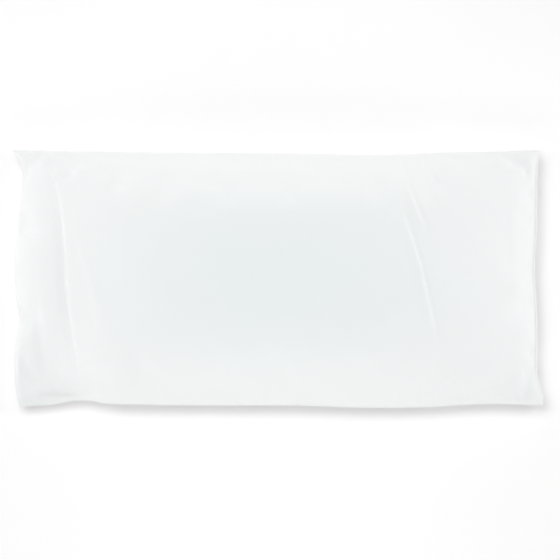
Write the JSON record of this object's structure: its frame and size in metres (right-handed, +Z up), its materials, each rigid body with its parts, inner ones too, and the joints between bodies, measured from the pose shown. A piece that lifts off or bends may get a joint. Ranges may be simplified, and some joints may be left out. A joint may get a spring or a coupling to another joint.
{
  "type": "bed pillow",
  "caption": "Rectangular fibre-filled bed pillow of two woven panels with a knife-edge seam, a topstitched closing seam and a blank care label.",
  "frame": {"origin": "on the surface that the pillow lies on, under the middle of its box", "axes": "+X along the length, towards the closing seam; +Y across the width; +Z up, out of the upper panel"},
  "size_m": [0.785, 0.38, 0.112],
  "materials": {
    "ticking": "white plain-woven cotton percale, matte with a faint soft sheen",
    "fibre_fill": "carded hollow polyester fibre, matte and fluffy",
    "thread": "two-ply spun polyester sewing thread, slightly glossy",
    "label": "blank white satin ribbon, soft gloss"
  },
  "bodies": {
    "root": {"ticking_upper": "ticking", "ticking_lower": "ticking", "fibre_batt_upper": "fibre_fill", "fibre_core": "fibre_fill", "fibre_batt_lower": "fibre_fill", "needle_thread_front": "thread", "needle_thread_back": "thread", "needle_thread_left": "thread", "looper_thread_front": "thread", "looper_thread_back": "thread", "looper_thread_left": "thread", "overedge_thread_front": "thread", "overedge_thread_back": "thread", "overedge_thread_left": "thread", "closing_needle_thread": "thread", "closing_bobbin_thread": "thread", "care_label": "label"}
  },
  "joints": []
}
